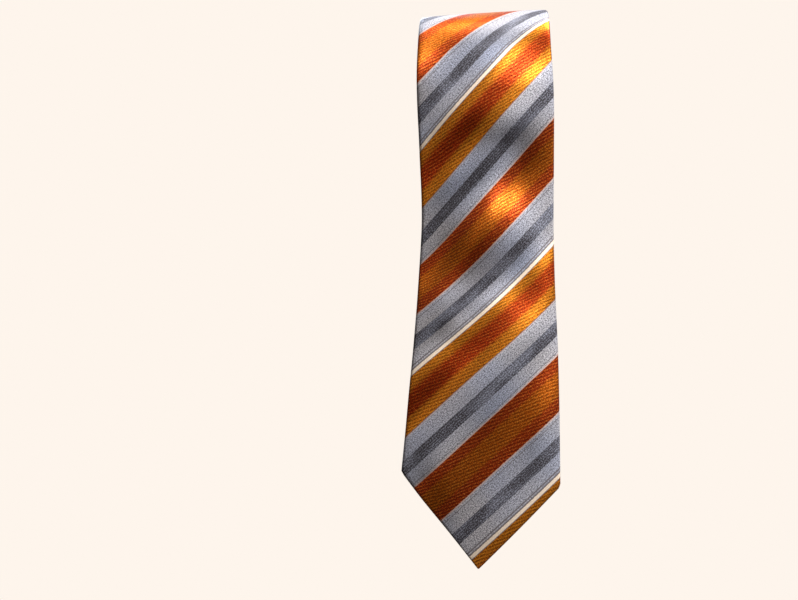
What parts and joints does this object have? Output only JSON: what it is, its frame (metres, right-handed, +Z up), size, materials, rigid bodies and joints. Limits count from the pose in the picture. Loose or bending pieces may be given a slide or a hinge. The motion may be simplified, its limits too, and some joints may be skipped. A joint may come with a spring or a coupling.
{
  "type": "necktie",
  "caption": "Wide woven necktie with diagonal orange and grey stripes, folded in half and hung over a rail, its narrow end through the keeper loop.",
  "frame": {"origin": "on the axis of the rail that the tie hangs over, in the middle of the tie's width", "axes": "+X to the right of someone who faces the wide blade, +Y away from them, +Z up; the tie hangs along -Z"},
  "size_m": [0.1014, 0.0401, 0.355],
  "materials": {
    "striped_cloth": "lustrous bias-cut woven stripe: orange twill satin, light and charcoal grey bands, fine cream lines",
    "interlining": "soft brushed wool-blend interlining",
    "tipping_lining": "smooth satin lining",
    "thread": "twisted sewing thread",
    "label_satin": "blank woven satin label",
    "care_tape": "blank satin tape"
  },
  "bodies": {
    "saddle": {"wide_blade_over_rail": "striped_cloth", "wide_interlining_over_rail": "interlining", "wide_slip_stitch_over_rail": "thread", "narrow_blade_over_rail": "striped_cloth", "narrow_interlining_over_rail": "interlining", "narrow_slip_stitch_over_rail": "thread"},
    "front_leg": {"wide_blade_front": "striped_cloth", "wide_interlining_front": "interlining", "wide_tipping": "tipping_lining", "wide_slip_stitch_front": "thread", "wide_bar_tack": "thread", "spare_thread_loop": "thread", "keeper_loop": "striped_cloth", "keeper_tack_left": "thread", "keeper_tack_right": "thread", "maker_label": "label_satin", "narrow_blade_front": "striped_cloth", "narrow_interlining_front": "interlining", "narrow_tipping": "tipping_lining", "narrow_slip_stitch_front": "thread", "narrow_bar_tack": "thread"},
    "back_leg": {"wide_blade_back": "striped_cloth", "wide_interlining_back": "interlining", "wide_slip_stitch_back": "thread", "neck_piece": "striped_cloth", "neck_interlining": "interlining", "neck_slip_stitch": "thread", "narrow_blade_back": "striped_cloth", "narrow_interlining_back": "interlining", "narrow_slip_stitch_back": "thread"},
    "care_label_flap": {"care_label": "care_tape"}
  },
  "joints": [
    {"name": "front_leg_lift", "type": "hinge", "parent": "saddle", "child": "front_leg", "pos_m": [0, -0.0189, 0], "axis": [-0.998, 0, -0.0629], "range_deg": [0, 100]},
    {"name": "back_leg_lift", "type": "hinge", "parent": "saddle", "child": "back_leg", "pos_m": [0, 0.0189, 0], "axis": [0.998, 0, 0.0629], "range_deg": [0, 100]},
    {"name": "care_label_lift", "type": "hinge", "parent": "front_leg", "child": "care_label_flap", "pos_m": [0.0304, -0.01495, -0.154], "axis": [1, 0, 0], "range_deg": [0, 120]}
  ]
}
